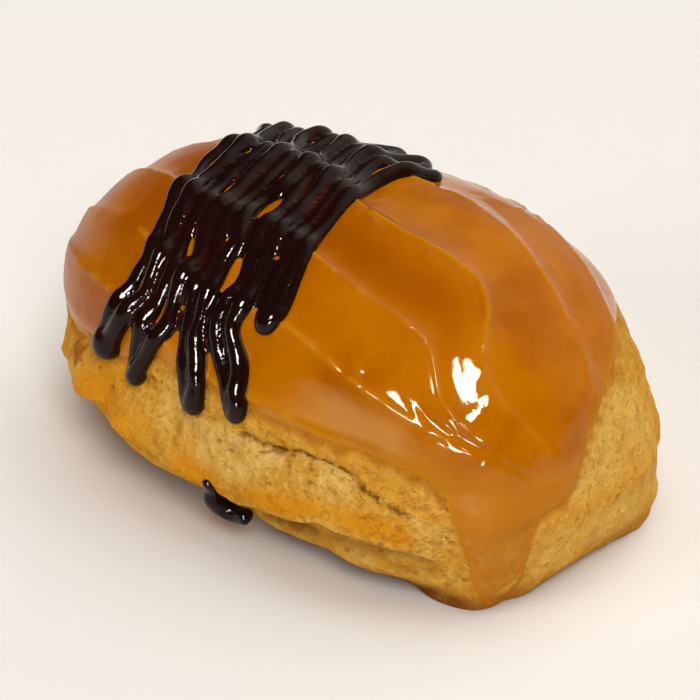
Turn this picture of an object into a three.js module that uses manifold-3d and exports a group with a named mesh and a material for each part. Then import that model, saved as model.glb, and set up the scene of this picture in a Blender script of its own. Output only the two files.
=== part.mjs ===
// A short, plump eclair: a choux bun with a star-piped dome, a caramel glaze over
// the dome that runs down one corner, and a zigzag of piped chocolate across it.
// Millimetres, +Z up. +X runs along the bun to its blunt end, and -Y is the side
// that the chocolate hangs over. The origin is on the floor under the bun's middle.

import * as THREE from "three";
import { ParametricGeometry } from "three/addons/geometries/ParametricGeometry.js";
import { mergeVertices } from "three/addons/utils/BufferGeometryUtils.js";
import Module from "manifold-3d";

const wasm = await Module();
wasm.setup();

// Driving dimensions of the bun
const bunLength = 77;
const bunWidth = 50;
const domeHeight = 36.6;
const crownDip = { at: -9, reach: 14, depth: 1.6 }; // where the chocolate weighs on the dome
const waistHeight = 11; // where the bun is widest
const roundTip = 15.2; // height of the tip at the round end
const bluntTip = 10; // height of the tip at the blunt end
const roundLift = 6.5; // how far the underside rises at the round end
const baseTrim = 2; // depth that the floor flattens off the underside
const endTuck = 1.7; // how far the blunt end draws in from waist to floor
const endSkew = 0.03; // slant of the blunt end's foot, along per across

// Superellipse powers: run along the bun, rise across it
const roundWidth = { run: 2.2, rise: 2.2 };
const roundHeight = { run: 2.4, rise: 1.9 };
const bluntWidth = { run: 2.5, rise: 2.6 };
const bluntHeight = { run: 3.1, rise: 2.2 };
const domePower = 2.23;
const tuckPower = { middle: 2.35, blunt: 5 }; // how square the section is below the waist

// Star-piped ridges along the dome, by their angle up from the near side, in degrees
const ridgeAngles = [-12, 19, 40, 62, 84, 103, 125, 147, 170, 200];
const ridgeDepth = 0.9;
const ridgeTwist = 13; // degrees that the ridges lean to the near side at the blunt end

// Relief of the bare wall under the glaze, as heights, half-bands and swells
const crack = { height: 16.6, band: 1.3, swell: -0.6 };
const roll = { height: 11, band: 2, swell: 0.6 };
const hollow = { height: 7.8, band: 1.2, swell: -0.5 };
const notch = { at: 2, reach: 6, depth: 0.6 }; // dip up in the near lower edge, behind the drip

// Caramel glaze
const fitGap = 0.3;
const glazeThickness = 0.8;
// Height of the glaze's lower edge, by the plan angle from +X in degrees: it runs down the
// near corner of the blunt end and climbs away from there to the far side
const glazeEdge = [
  [-180, 16], [-160, 15.4], [-143, 15.6], [-125, 17.6], [-112, 20.4], [-90, 20.8], [-53, 20.3],
  [-44, 19.6], [-37, 18.6], [-32.4, 17.4], [-29.4, 15.4], [-28, 12.2], [-26, 8.2], [-24.8, 4.6],
  [-22, 2.5], [-18, 2.3], [-16, 4.4], [-15, 10], [-13.8, 12.3], [-8.5, 13.2], [-5.2, 15.3],
  [-0.5, 19.4], [5, 22], [10, 23.9], [20, 25.6], [55, 24], [90, 21.5], [130, 19], [180, 16],
];

// Chocolate zigzag: turns in order, by place along the bun and angle up from the near side
const strandWidth = 2.2;
const strandRise = 0.15; // height of a strand's middle above the glaze
const chocolateTurns = [
  [-24.5, 126], [-17.6, 14], [-19.6, 131], [-11.3, 11], [-14.2, 128], [-1.6, 12],
  [-8.6, 133], [4.6, 15], [-3, 127], [6.6, 41], [2.2, 118],
];
const strandBow = { first: 3.6, last: 0.4 }; // swing to the blunt end on the way down
const turnSpread = 1.3; // half the spread of the two strands that leave a turn
const endShare = 0.06; // share of a strand that its rounded turn takes

// Chocolate drip that hooks under the near lower edge, by place along and angle
const dripWidth = 2.3;
const dripRise = 0.5;
const dripRoute = [[2.6, -4], [1.3, -14], [2, -30], [4.2, -42], [7, -43]];

// Shift that puts the origin under the middle of the whole
const centring = { x: 0.13, y: 0.7 };

// Mesh steps
const bunSteps = { along: 38, around: 42 };
const domeSteps = 30; // of the steps around, how many are over the dome
const edgeSteps = 3; // for each span of the glaze's edge
const strandRings = 14;

const radians = THREE.MathUtils.degToRad;
const { clamp, smoothstep, lerp } = THREE.MathUtils;
const signedPower = (value, power) => Math.sign(value) * Math.pow(Math.abs(value), power);
const hump = (distance, reach) => Math.exp(-((distance / reach) ** 2));

// Share of a half-size that is left at a share of the way to the tip
function shoulder(share, { run, rise }) {
  return Math.pow(Math.max(1 - Math.pow(share, run), 0), 1 / rise);
}

// Share of the way to a tip, negative at the round end, at a station from -90 to 90 degrees
function shareAt(station) {
  const run = station < 0 ? roundWidth.run : bluntWidth.run;
  return signedPower(Math.sin(radians(station)), 2 / run);
}

// The station whose ring lies at a place along the bun
function stationAt(x) {
  const share = clamp(x / (bunLength / 2), -1, 1);
  const run = share < 0 ? roundWidth.run : bluntWidth.run;
  return THREE.MathUtils.radToDeg(Math.asin(signedPower(share, run / 2)));
}

// Height of a ridge crest over the dome: sharp crests with hollows between them
function ridgeRelief(share, angle) {
  const leaned = angle + ridgeTwist * (share - 0.4);
  const next = ridgeAngles.findIndex((crest) => crest > leaned);
  if (next < 1) return 0;
  const span = ridgeAngles[next] - ridgeAngles[next - 1];
  const across = (leaned - ridgeAngles[next - 1]) / span;
  const hollow = 1 - Math.pow(Math.abs(2 * across - 1), 1.7);
  const fade = shoulder(Math.abs(share), { run: 4, rise: 1.5 });
  const onDome = smoothstep(angle, 8, 24) * (1 - smoothstep(angle, 156, 172));
  return -ridgeDepth * hollow * fade * onDome;
}

// Swell of the wall: a crack, a roll below it and a hollow under the roll
function wallRelief(share, height) {
  const fade = shoulder(Math.abs(share), { run: 4, rise: 1.5 });
  const swells = [crack, roll, hollow].map(({ height: at, band, swell }) => swell * hump(height - at, band));
  return fade * swells.reduce((sum, swell) => sum + swell, 0);
}

// A point of the bun's skin, or of a skin a little outside it
function bunPoint(station, angle, outside, target) {
  const share = shareAt(station);
  const reach = Math.abs(share);
  const round = share < 0;
  const width = shoulder(reach, round ? roundWidth : bluntWidth);
  const height = shoulder(reach, round ? roundHeight : bluntHeight);
  const waist = lerp(waistHeight, round ? roundTip : bluntTip, reach * reach);
  const lift = round ? roundLift * reach * reach : 0;
  const sine = Math.sin(radians(angle));
  const above = sine >= 0;
  const square = lerp(tuckPower.middle, tuckPower.blunt, smoothstep(share, 0.6, 0.95));
  const power = 2 / (above ? domePower : square);
  const across = signedPower(Math.cos(radians(angle)), power);
  const up = Math.pow(Math.abs(sine), power);

  let halfWidth = (bunWidth / 2 + outside) * width;
  let x = (bunLength / 2 + outside) * share;
  const dip = crownDip.depth * hump(x - crownDip.at, crownDip.reach);
  const dome = (domeHeight - dip + outside - waist) * height;
  const depth = (waist - lift + baseTrim) * Math.pow(Math.min(1.6 * width, 1), 0.6);
  const nearNotch = above || across < 0 ? 0 : notch.depth * hump(x - notch.at, notch.reach);
  let z = waist + (above ? dome * up : -(depth - nearNotch) * up);
  const ridge = above ? ridgeRelief(share, angle) : 0;
  halfWidth += wallRelief(share, z) + ridge * Math.abs(across);
  z = Math.max(z + ridge * up, 0);
  const y = -halfWidth * across;
  const foot = round ? 0 : clamp(1 - z / waist, 0, 1) ** 2;
  x += foot * share * (endSkew * y - endTuck);
  return target.set(x, y, z);
}

// Closed solid from a grid surface whose seam and tips coincide
function solidOf(surface, steps) {
  const grid = new ParametricGeometry(surface, steps.around, steps.along);
  grid.deleteAttribute("normal");
  grid.deleteAttribute("uv");
  const { index, attributes } = mergeVertices(grid, 1e-3);
  const triVerts = [];
  for (let i = 0; i < index.count; i += 3) {
    const [a, b, c] = [index.getX(i), index.getX(i + 1), index.getX(i + 2)];
    if (a !== b && b !== c && c !== a) triVerts.push(a, b, c);
  }
  return new wasm.Manifold(new wasm.Mesh({
    numProp: 3,
    vertProperties: new Float32Array(attributes.position.array),
    triVerts: new Uint32Array(triVerts),
  }));
}

function bunSolid(outside) {
  const under = bunSteps.around - domeSteps;
  const surface = (u, v, target) => {
    const step = Math.round(u * bunSteps.around) % bunSteps.around;
    const angle = step < domeSteps ? (180 * step) / domeSteps : 180 + (180 * (step - domeSteps)) / under;
    return bunPoint(90 - 180 * v, angle, outside, target);
  };
  return solidOf(surface, bunSteps);
}

// The plan angle and height of the glaze's lower edge at a step round it
function glazeEdgeAt(step) {
  const span = Math.min(Math.floor(step / edgeSteps), glazeEdge.length - 2);
  const way = step / edgeSteps - span;
  const [[from, start], [to, end]] = [glazeEdge[span], glazeEdge[span + 1]];
  const ease = lerp(way, smoothstep(way, 0, 1), 0.5);
  return [lerp(from, to, way), lerp(start, end, ease)];
}

// Everything above the glaze's lower edge, as a wide drum with a wavy floor
function glazeZone() {
  const reach = bunLength;
  const ceiling = domeHeight * 2;
  const rim = [[0, 1], [0.3, 1], [1, 1], [1, 0], [0, 0]]; // radius, and floor 1 or ceiling 0
  const around = edgeSteps * (glazeEdge.length - 1);
  const surface = (u, v, target) => {
    const [angle, edge] = glazeEdgeAt(Math.round(u * around) % around);
    const [radius, floor] = rim[Math.round(v * (rim.length - 1))];
    const height = radius > 0 ? edge : waistHeight;
    target.set(Math.cos(radians(angle)), Math.sin(radians(angle)), 0).multiplyScalar(radius * reach);
    return target.setZ(floor ? height : ceiling);
  };
  return solidOf(surface, { around, along: rim.length - 1 });
}

// A strand of chocolate: a section carried along a path, closed to a point at both ends.
// pathAt sets the strand's middle and its outward direction at a share of the way.
function strandSolid(pathAt, stops, section) {
  const [middle, outward, before, after] = [0, 1, 2, 3].map(() => new THREE.Vector3());
  const [spare, side] = [new THREE.Vector3(), new THREE.Vector3()];
  const surface = (u, v, target) => {
    const [way, scale] = stops[Math.round(v * (stops.length - 1))];
    const [across, out] = section[Math.round(u * section.length) % section.length];
    pathAt(Math.max(way - 0.01, 0), before, spare);
    pathAt(Math.min(way + 0.01, 1), after, spare);
    pathAt(way, middle, outward);
    side.crossVectors(outward, after.sub(before)).normalize();
    target.copy(middle).addScaledVector(side, scale * across);
    return target.addScaledVector(outward, scale * out);
  };
  return solidOf(surface, { around: section.length, along: stops.length - 1 });
}

// Rings of a strand: shares of the way, and the section's scale there
function strandStops(rings) {
  const stops = [[0, 0], [0, 0.7], [endShare / 3, 1]];
  for (let i = 0; i <= rings; i++) {
    stops.push([lerp(endShare, 1 - endShare, i / rings), 1]);
  }
  return [...stops, [1 - endShare / 3, 1], [1, 0.7], [1, 0]];
}

// Half-round top on upright sides that stand in the glaze
function strandSection() {
  const radius = strandWidth / 2;
  const section = [];
  for (let turn = 0; turn <= 180; turn += 45) {
    section.push([radius * Math.cos(radians(turn)), radius * Math.sin(radians(turn))]);
  }
  const foot = strandRise + 0.65 * glazeThickness;
  return [...section, [-radius, -foot], [radius, -foot]];
}

function roundSection(width, sides) {
  const corner = (i) => (2 * Math.PI * i) / sides;
  return Array.from({ length: sides }, (_, i) => [
    (width / 2) * Math.cos(corner(i)), (width / 2) * Math.sin(corner(i)),
  ]);
}

// One pass of the zigzag over the glaze, from one turn to the next
function passSolid(pass) {
  const [[fromX, fromAngle], [toX, toAngle]] = chocolateTurns.slice(pass, pass + 2);
  const reach = lerp(strandBow.first, strandBow.last, pass / (chocolateTurns.length - 2));
  const above = fitGap + glazeThickness + strandRise;
  const pathAt = (way, middle, outward) => {
    const leaving = (1 - way) * smoothstep(way, 0, endShare);
    const arriving = way * smoothstep(1 - way, 0, endShare);
    const down = fromAngle > toAngle ? way : 1 - way;
    const bow = reach * Math.sin(Math.PI * down * down);
    const x = lerp(fromX, toX, way) + bow + turnSpread * (leaving - arriving);
    const station = stationAt(x);
    const angle = lerp(fromAngle, toAngle, way);
    bunPoint(station, angle, above - 1, outward);
    bunPoint(station, angle, above, middle);
    outward.subVectors(middle, outward).normalize();
  };
  return strandSolid(pathAt, strandStops(strandRings), strandSection());
}

function dripSolid() {
  const route = new THREE.SplineCurve(dripRoute.map((place) => new THREE.Vector2(...place)));
  const pathAt = (way, middle, outward) => {
    const place = route.getPoint(way);
    const station = stationAt(place.x);
    bunPoint(station, (place.y + 360) % 360, dripRise - 1, outward);
    bunPoint(station, (place.y + 360) % 360, dripRise, middle);
    outward.subVectors(middle, outward).normalize();
  };
  return strandSolid(pathAt, strandStops(strandRings), roundSection(dripWidth, 8));
}

function nodeOf(name, solid, colour, roughness) {
  const { vertProperties, triVerts } = solid.getMesh();
  const geometry = new THREE.BufferGeometry();
  geometry.setAttribute("position", new THREE.BufferAttribute(vertProperties, 3));
  geometry.setIndex(new THREE.BufferAttribute(triVerts, 1));
  geometry.translate(centring.x, centring.y, 0);
  geometry.computeVertexNormals();
  const material = new THREE.MeshStandardMaterial({ color: colour, roughness, metalness: 0 });
  const mesh = new THREE.Mesh(geometry, material);
  mesh.name = name;
  return mesh;
}

// Choux bun with the drip on its lower edge
function chouxBun() {
  return nodeOf("choux_bun", bunSolid(0).add(dripSolid()), "#d9a045", 0.75);
}

// Glaze skin with the chocolate zigzag piped on it
function caramelGlaze() {
  const skin = bunSolid(fitGap + glazeThickness).subtract(bunSolid(fitGap));
  let glaze = skin.intersect(glazeZone());
  for (let pass = 0; pass < chocolateTurns.length - 1; pass++) {
    glaze = glaze.add(passSolid(pass));
  }
  return nodeOf("caramel_glaze", glaze, "#b5680f", 0.12);
}

const eclair = new THREE.Group();
eclair.add(chouxBun(), caramelGlaze());

export default eclair;
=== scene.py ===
import math

import bpy
import numpy as np
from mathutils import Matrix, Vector


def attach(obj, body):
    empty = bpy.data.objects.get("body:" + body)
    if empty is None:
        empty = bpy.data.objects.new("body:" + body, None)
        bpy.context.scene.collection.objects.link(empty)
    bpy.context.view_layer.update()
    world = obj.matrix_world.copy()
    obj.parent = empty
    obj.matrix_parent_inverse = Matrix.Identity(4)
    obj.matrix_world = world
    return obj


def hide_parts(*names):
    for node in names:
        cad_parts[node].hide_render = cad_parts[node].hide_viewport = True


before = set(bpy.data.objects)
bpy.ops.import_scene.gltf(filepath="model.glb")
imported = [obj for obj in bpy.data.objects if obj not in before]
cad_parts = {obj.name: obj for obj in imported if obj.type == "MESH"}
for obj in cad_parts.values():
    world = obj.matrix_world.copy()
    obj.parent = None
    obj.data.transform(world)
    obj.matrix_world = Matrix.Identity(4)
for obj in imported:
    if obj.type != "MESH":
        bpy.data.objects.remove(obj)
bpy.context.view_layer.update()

# A short choux eclair: baked bun, caramel glaze over its star-piped dome, chocolate piped across it.
# Shapes are worked out in millimetres and put into the meshes in metres.

mm = 0.001
print("frame loaded, nodes:", ", ".join(sorted(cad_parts)))


# Small maths on whole arrays

def hump(distance, reach):  # bell of height 1
    return np.exp(-(distance / reach) ** 2)


def easeStep(value, low, high):  # 0 to 1 between low and high, level at both ends
    share = np.clip((value - low) / (high - low), 0, 1)
    return share * share * (3 - 2 * share)


def easeOff(value, low, high):  # 1 to 0 between low and high
    return 1 - easeStep(value, low, high)


def between(value, start, full, wane, end):  # up from start to full, down from wane to end
    return easeStep(value, start, full) * easeOff(value, wane, end)


def lineAt(x, knots):  # height at x of a line through knots of place and height
    return np.interp(x, *np.transpose(knots))


def blendOf(first, second, share):
    return first + (second - first) * share


def signedPower(value, power):
    return np.sign(value) * np.abs(value) ** power


def shoulder(share, curve):  # what is left of a half-size at a share of the way to the tip
    run, rise = curve
    return np.clip(1 - share ** run, 0, 1) ** (1 / rise)


def lengthOf(vectors):
    return np.sqrt((vectors ** 2).sum(-1))


def angleOf(x, y):  # degrees round from the first axis
    return np.degrees(np.arctan2(y, x))


def evenStops(points, count, weight=1.0):
    # places of even spacing along a line of points, as fractional indexes
    steps = lengthOf(np.diff(points, axis=0)) * weight
    run = np.concatenate([[0], np.cumsum(steps)])
    return np.interp(np.linspace(0, run[-1], count), run, np.arange(len(points)))


def takeAt(stops, values):  # values at fractional indexes
    return np.interp(stops, np.arange(len(values)), values)


def lumps(points, cell, seed):
    # random heights on a cubic lattice, eased between the eight corners round each point: -1 to 1
    size = 24
    lattice = np.random.default_rng(seed).uniform(-1, 1, (size, size, size))
    place = points / cell
    base = np.floor(place).astype(int)
    way = place - base
    way = way * way * (3 - 2 * way)
    total = np.zeros(points.shape[:-1])
    for corner in np.ndindex(2, 2, 2):
        at = (base + corner) % size
        near = np.where(np.array(corner) == 1, way, 1 - way).prod(-1)
        total += near * lattice[at[..., 0], at[..., 1], at[..., 2]]
    return total


def streaks(seed, *axes):  # lumps on axes that are each scaled and leaned on their own
    return lumps(np.stack(axes, -1), 1, seed)


def fromSegment(points, start, end):
    # distance from a straight line between two places, and the share of the way along it
    line = end - start
    along = np.clip(((points - start) @ line) / (line @ line), 0, 1)
    return lengthOf(points - start - along[..., None] * line), along


# Form of the bun: the same driving sizes as the solids

bun = {
    "length": 77,
    "width": 50,
    "height": 36.6,
    "waist": 11,  # height where the bun is widest
    "roundTip": 15.2,
    "bluntTip": 10,
    "roundLift": 6.5,  # rise of the underside at the round end
    "baseTrim": 2,  # what the floor flattens off the underside
    "endTuck": 2.3,
    "endSkew": 0.03,
    "roundWidth": (2.2, 2.2),  # superellipse powers, run along and rise across
    "roundHeight": (2.4, 1.9),
    "bluntWidth": (2.5, 2.6),
    "bluntHeight": (3.1, 2.2),
    "domePower": 2.23,
    "tuckPower": (2.35, 5),  # below the waist, in the middle and at the blunt end
    "crownDip": (-9, 14, 1.6),  # where, how far it reaches, how deep
    "ridgeAngles": [-12, 19, 40, 62, 84, 103, 125, 147, 170, 200],
    "ridgeDepth": 0.8,
    "ridgeSlope": 2.2,  # the higher, the closer behind its crest a hollow is deepest
    "ridgeTwist": 13,
    "ridgeWander": 1.6,  # degrees that a crest strays to both sides
    # how far crests run together, from where along the bun, and between which angles
    "ridgeBend": (24, (0.56, 0.84), (33, 46, 62, 98)),
    "ridgeSpan": (8, 24, 156, 172),  # angles where the ridges begin, are full, wane and end
    "fade": (4, 1.5),  # how ridges and swells run out towards the tips
    "wallSwells": [(16.6, 1.3, -0.6), (11, 2, 0.6), (7.8, 1.2, -0.5)],  # height, half-band, swell
    "notch": (0, 9, 1.4),
    # edges of the blunt end: compass angle, reach in degrees, how far it stands out, height where it ends
    "corners": [(-23, 4.5, 1.1, 17), (21, 6, 0.8, 11)],
    "centre": (0.13, 0.7, 0),
}
halfLength = bun["length"] / 2


def ridgeLean(share, angle):  # angle in the straight pattern of crests that lies here
    bend, along, span = bun["ridgeBend"]
    stray = bun["ridgeWander"] * np.sin(9 * share + angle / 14)
    bent = bend * easeStep(share, *along) * between(angle, *span)
    return angle + bun["ridgeTwist"] * (share - 0.4) + stray + bent


def ridgePlace(share, angle):
    # share of the way from a piped crest to the next one up, and the gap between the two in degrees
    crests = np.array(bun["ridgeAngles"], float)
    leaned = ridgeLean(share, angle)
    after = np.clip(np.searchsorted(crests, leaned, side="right"), 1, len(crests) - 1)
    gap = crests[after] - crests[after - 1]
    return np.clip((leaned - crests[after - 1]) / gap, 0, 1), gap


def ridgeFade(share, angle):  # ridges run out towards the tips and the walls
    return shoulder(np.abs(share), bun["fade"]) * between(angle, *bun["ridgeSpan"])


def crestDistance(share, angle):  # to the nearest crest, as if round a cylinder of the bun's width
    across, gap = ridgePlace(share, angle)
    return np.minimum(across, 1 - across) * gap * math.pi / 180 * bun["width"] / 2


def ridgeHollow(share, angle):
    # a soft saw-tooth: the skin drops close behind a crest and rises slowly to the next, 0 to 1 deep
    across, _ = ridgePlace(share, angle)
    slope = bun["ridgeSlope"]
    deepest = (slope / (1 + slope)) ** slope / (1 + slope)
    return across * (1 - across) ** slope / deepest * ridgeFade(share, angle)


def axesOf(points):  # x, y and z from the bun's middle
    return np.moveaxis(points - bun["centre"], -1, 0)


def planPower(place):  # of the superellipse that the outline from above follows at this end
    return np.where(place < 0, bun["roundWidth"][0], bun["bluntWidth"][0])


def bunFrame(share):
    # sizes of the cross-section at a share of the way to a tip, negative at the round end
    isRound = share < 0
    reach = np.abs(share)
    width = np.where(isRound, shoulder(reach, bun["roundWidth"]), shoulder(reach, bun["bluntWidth"]))
    height = np.where(isRound, shoulder(reach, bun["roundHeight"]), shoulder(reach, bun["bluntHeight"]))
    waist = blendOf(bun["waist"], np.where(isRound, bun["roundTip"], bun["bluntTip"]), reach ** 2)
    lift = np.where(isRound, bun["roundLift"] * reach ** 2, 0)
    square = blendOf(*bun["tuckPower"], easeStep(share, 0.6, 0.95))
    dipAt, dipReach, dipDepth = bun["crownDip"]
    dip = dipDepth * hump(halfLength * share - dipAt, dipReach)
    dome = (bun["height"] - dip - waist) * height
    depth = (waist - lift + bun["baseTrim"]) * np.minimum(1.6 * width, 1) ** 0.6
    return width, height, waist, square, dome, depth


def bunForm(station, angle, outside=0.0):
    # a superellipse section carried from tip to tip: its half-width and dome fall off by superellipses,
    # it is rounder above the waist than below it, star ridges and wall swells are added,
    # and the floor cuts the underside flat. angle 0 is the near side, 90 the top
    along = np.sin(np.radians(station))
    share = signedPower(along, 2 / planPower(station))
    width, height, waist, square, dome, depth = bunFrame(share)
    sine = np.sin(np.radians(angle))
    above = sine >= 0
    power = 2 / np.where(above, bun["domePower"], square)
    across = signedPower(np.cos(np.radians(angle)), power)
    up = np.abs(sine) ** power

    x = (halfLength + outside) * share
    notchAt, notchReach, notchDepth = bun["notch"]
    notch = np.where(above | (across < 0), 0, notchDepth * hump(x - notchAt, notchReach))
    z = waist + np.where(above, (dome + outside * height) * up, -(depth - notch) * up)
    ridge = np.where(above, -bun["ridgeDepth"] * ridgeHollow(share, angle), 0)
    swell = sum(size * hump(z - at, band) for at, band, size in bun["wallSwells"])
    half = (bun["width"] / 2 + outside) * width
    half = half + swell * shoulder(np.abs(share), bun["fade"]) + ridge * np.abs(across)
    z = np.maximum(z + ridge * up, 0)
    y = -half * across
    foot = np.where(station < 0, 0, np.clip(1 - z / waist, 0, 1) ** 2)
    x = x + foot * share * (bun["endSkew"] * y - bun["endTuck"])
    plan = angleOf(x, y)
    corner = sum(out * hump(plan - at, reach) * easeOff(z, top / 2, top)
                 for at, reach, out, top in bun["corners"])
    grow = 1 + corner / np.maximum(np.hypot(x, y), 4)
    return np.stack([x * grow, y * grow, z], -1) + bun["centre"]


def outwardAt(station, angle):  # direction that leaves the skin
    step = bunForm(station, angle, 0.5) - bunForm(station, angle, -0.5)
    return step / np.maximum(lengthOf(step), 1e-9)[..., None]


def stationAt(x):
    share = np.clip(x / halfLength, -1, 1)
    return np.degrees(np.arcsin(signedPower(share, planPower(share) / 2)))


def skinBeyond(plan, rise):
    # station and angle where a ray from inside the bun meets the skin, by halving the ray's length.
    # plan is the compass angle from +X and rise the angle above the waist, in degrees
    plan, rise = np.broadcast_arrays(np.radians(plan), np.radians(rise))
    way = np.stack([np.cos(rise) * np.cos(plan), np.cos(rise) * np.sin(plan), np.sin(rise)], -1)
    near = np.zeros(way.shape[:-1])
    far = np.full(way.shape[:-1], bun["length"])
    for halving in range(40):
        middle = (near + far) / 2
        share, across, up, power = sectionPlace(middle[..., None] * way + (0, 0, bun["waist"]))
        inside = np.abs(across) ** power + np.abs(up) ** power < 1
        near = np.where(inside, middle, near)
        far = np.where(inside, far, middle)
    share, across, up, power = sectionPlace(near[..., None] * way + (0, 0, bun["waist"]))
    angle = angleOf(signedPower(across, power / 2), signedPower(up, power / 2))
    return stationAt(share * halfLength), angle % 360


def sectionPlace(place):
    # where a place stands in its cross-section, as shares of the half-width and of the height
    share = place[..., 0] / halfLength
    outside = np.abs(share) >= 1
    width, _, waist, square, dome, depth = bunFrame(np.clip(share, -0.99999, 0.99999))
    across = -place[..., 1] / (bun["width"] / 2 * width)
    fromWaist = place[..., 2] - waist
    up = np.where(fromWaist >= 0, fromWaist / dome, fromWaist / depth)
    power = np.where(fromWaist >= 0, bun["domePower"], square)
    far = 9  # any share well outside the section
    return np.clip(share, -1, 1), np.where(outside, far, across), np.where(outside, far, up), power


# Mesh and node helpers

def ringMesh(name, rings, firstTip, lastTip):
    # rows of points that close on themselves, joined row to row, with a fan to a tip at both ends
    rows, columns = rings.shape[:2]
    grid = np.arange(rows * columns).reshape(rows, columns)
    beside = np.roll(grid, -1, axis=1)
    quads = np.stack([grid[:-1], beside[:-1], beside[1:], grid[1:]], -1).reshape(-1, 4)
    first, last = rows * columns, rows * columns + 1
    fanFirst = np.stack([np.full(columns, first), beside[0], grid[0]], -1)
    fanLast = np.stack([np.full(columns, last), grid[-1], beside[-1]], -1)
    points = np.concatenate([rings.reshape(-1, 3), [firstTip], [lastTip]]) * mm
    mesh = bpy.data.meshes.new(name)
    mesh.from_pydata(points.tolist(), [], quads.tolist() + fanFirst.tolist() + fanLast.tolist())
    mesh.shade_smooth()
    return mesh


def placed(name, data):  # a new object in the scene
    item = bpy.data.objects.new(name, data)
    bpy.context.scene.collection.objects.link(item)
    return item


def addPiece(name, mesh, material, node):
    piece = placed(name, mesh)
    mesh.materials.append(material)
    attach(piece, "root")
    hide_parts(node)
    return piece


def addAttribute(mesh, name, values):
    attribute = mesh.attributes.new(name, "FLOAT", "POINT")
    attribute.data.foreach_set("value", np.asarray(values, np.float32).ravel())


def tubeRings(path, outward, radius, section):
    # a section carried along a path: each ring stands across the path, scaled by the radius there
    ahead = np.gradient(path, axis=0)
    side = np.cross(outward, ahead)
    side /= lengthOf(side)[:, None]
    across = radius[:, None, None] * section[None, :, :1] * side[:, None, :]
    out = radius[:, None, None] * section[None, :, 1:] * outward[:, None, :]
    return path[:, None, :] + across + out


def finishedMesh(piece):  # the mesh with its modifiers applied
    graph = bpy.context.evaluated_depsgraph_get()
    mesh = bpy.data.meshes.new_from_object(piece.evaluated_get(graph))
    piece.modifiers.clear()
    piece.data = mesh
    return mesh


def vertexPlaces(mesh):  # in millimetres
    flat = np.empty(len(mesh.vertices) * 3, np.float32)
    mesh.vertices.foreach_get("co", flat)
    return flat.reshape(-1, 3).astype(float) / mm


def smoothedOver(mesh, values, rounds):
    # values at the vertices, each moved half-way to the mean of its neighbours, round by round
    ends = np.empty(len(mesh.edges) * 2, np.int32)
    mesh.edges.foreach_get("vertices", ends)
    first, second = ends.reshape(-1, 2).T
    size = len(values)
    count = np.bincount(ends, minlength=size)
    for _ in range(rounds):
        around = np.bincount(first, values[second], size) + np.bincount(second, values[first], size)
        values = (values + around / count) / 2
    return values


def paint(red, green, blue):  # a colour as seen on screen, 0 to 255, as linear light
    seen = np.array([red, green, blue]) / 255
    linear = np.where(seen <= 0.04045, seen / 12.92, ((seen + 0.055) / 1.055) ** 2.4)
    return (*linear.tolist(), 1.0)


def feed(socket, value):  # a socket is linked, anything else is set
    if isinstance(value, bpy.types.NodeSocket):
        socket.id_data.links.new(value, socket)
    else:
        socket.default_value = value


def addNode(tree, kind, inputs=None, **settings):
    node = tree.nodes.new(kind)
    for name, value in settings.items():
        setattr(node, name, value)
    for key, value in (inputs or {}).items():
        feed(node.inputs[key], value)
    return node


def newMaterial(name, **values):
    material = bpy.data.materials.new(name)
    material.use_nodes = True
    shader = material.node_tree.nodes["Principled BSDF"]
    for socket, value in values.items():
        shader.inputs[socket.replace("_", " ")].default_value = value
    return material, material.node_tree, shader


def attributeOf(tree, name):
    return addNode(tree, "ShaderNodeAttribute", attribute_name=name).outputs["Fac"]


def calculate(tree, operation, first, second):
    node = addNode(tree, "ShaderNodeMath", {0: first, 1: second}, operation=operation, use_clamp=True)
    return node.outputs[0]


def product(tree, first, second):
    return calculate(tree, "MULTIPLY", first, second)


def ownPlace(tree):
    return addNode(tree, "ShaderNodeTexCoord").outputs["Object"]


def cutBetween(tree, value, low, high):  # 0 to 1 between two levels
    levels = {"Value": value, "From Min": low, "From Max": high}
    return addNode(tree, "ShaderNodeMapRange", levels, interpolation_type="SMOOTHSTEP").outputs["Result"]


def unevenGroup():
    # cloudy unevenness on the object's own coordinates: noise cut between two levels to a 0 to 1 mask
    group = bpy.data.node_groups.new("unevenness", "ShaderNodeTree")
    for name in ("Scale", "Detail", "Low", "High"):
        group.interface.new_socket(name, in_out="INPUT", socket_type="NodeSocketFloat")
    group.interface.new_socket("Mask", in_out="OUTPUT", socket_type="NodeSocketFloat")
    given = addNode(group, "NodeGroupInput").outputs
    grain = {"Scale": given["Scale"], "Detail": given["Detail"], "Roughness": 0.6}
    noise = addNode(group, "ShaderNodeTexNoise", {"Vector": ownPlace(group), **grain}).outputs["Fac"]
    addNode(group, "NodeGroupOutput", {"Mask": cutBetween(group, noise, given["Low"], given["High"])})
    return group


unevenness = unevenGroup()


def uneven(tree, scale, detail, low, high):
    levels = {"Scale": scale, "Detail": detail, "Low": low, "High": high}
    return addNode(tree, "ShaderNodeGroup", levels, node_tree=unevenness).outputs["Mask"]


def paintLayers(tree, shader, look, base, layers):
    # colours over each other from the base up: mask or the attribute that holds it, share, colour
    colour = paint(*look[base])
    for mask, share, tone in layers:
        if isinstance(mask, str):
            mask = attributeOf(tree, mask)
        mix = {"Factor": product(tree, mask, share), 6: colour, 7: paint(*look[tone])}
        colour = addNode(tree, "ShaderNodeMix", mix, data_type="RGBA").outputs[2]
    feed(shader.inputs["Base Color"], colour)


def addBumps(tree, shader, *bumps):
    # one over the other: height, strength, distance
    before = {}
    for height, strength, distance in bumps:
        inputs = {"Height": height, "Strength": strength, "Distance": distance, **before}
        before = {"Normal": addNode(tree, "ShaderNodeBump", inputs).outputs["Normal"]}
    feed(shader.inputs["Normal"], before["Normal"])


# Camera at the photograph's angle, framed on the eclair

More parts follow.
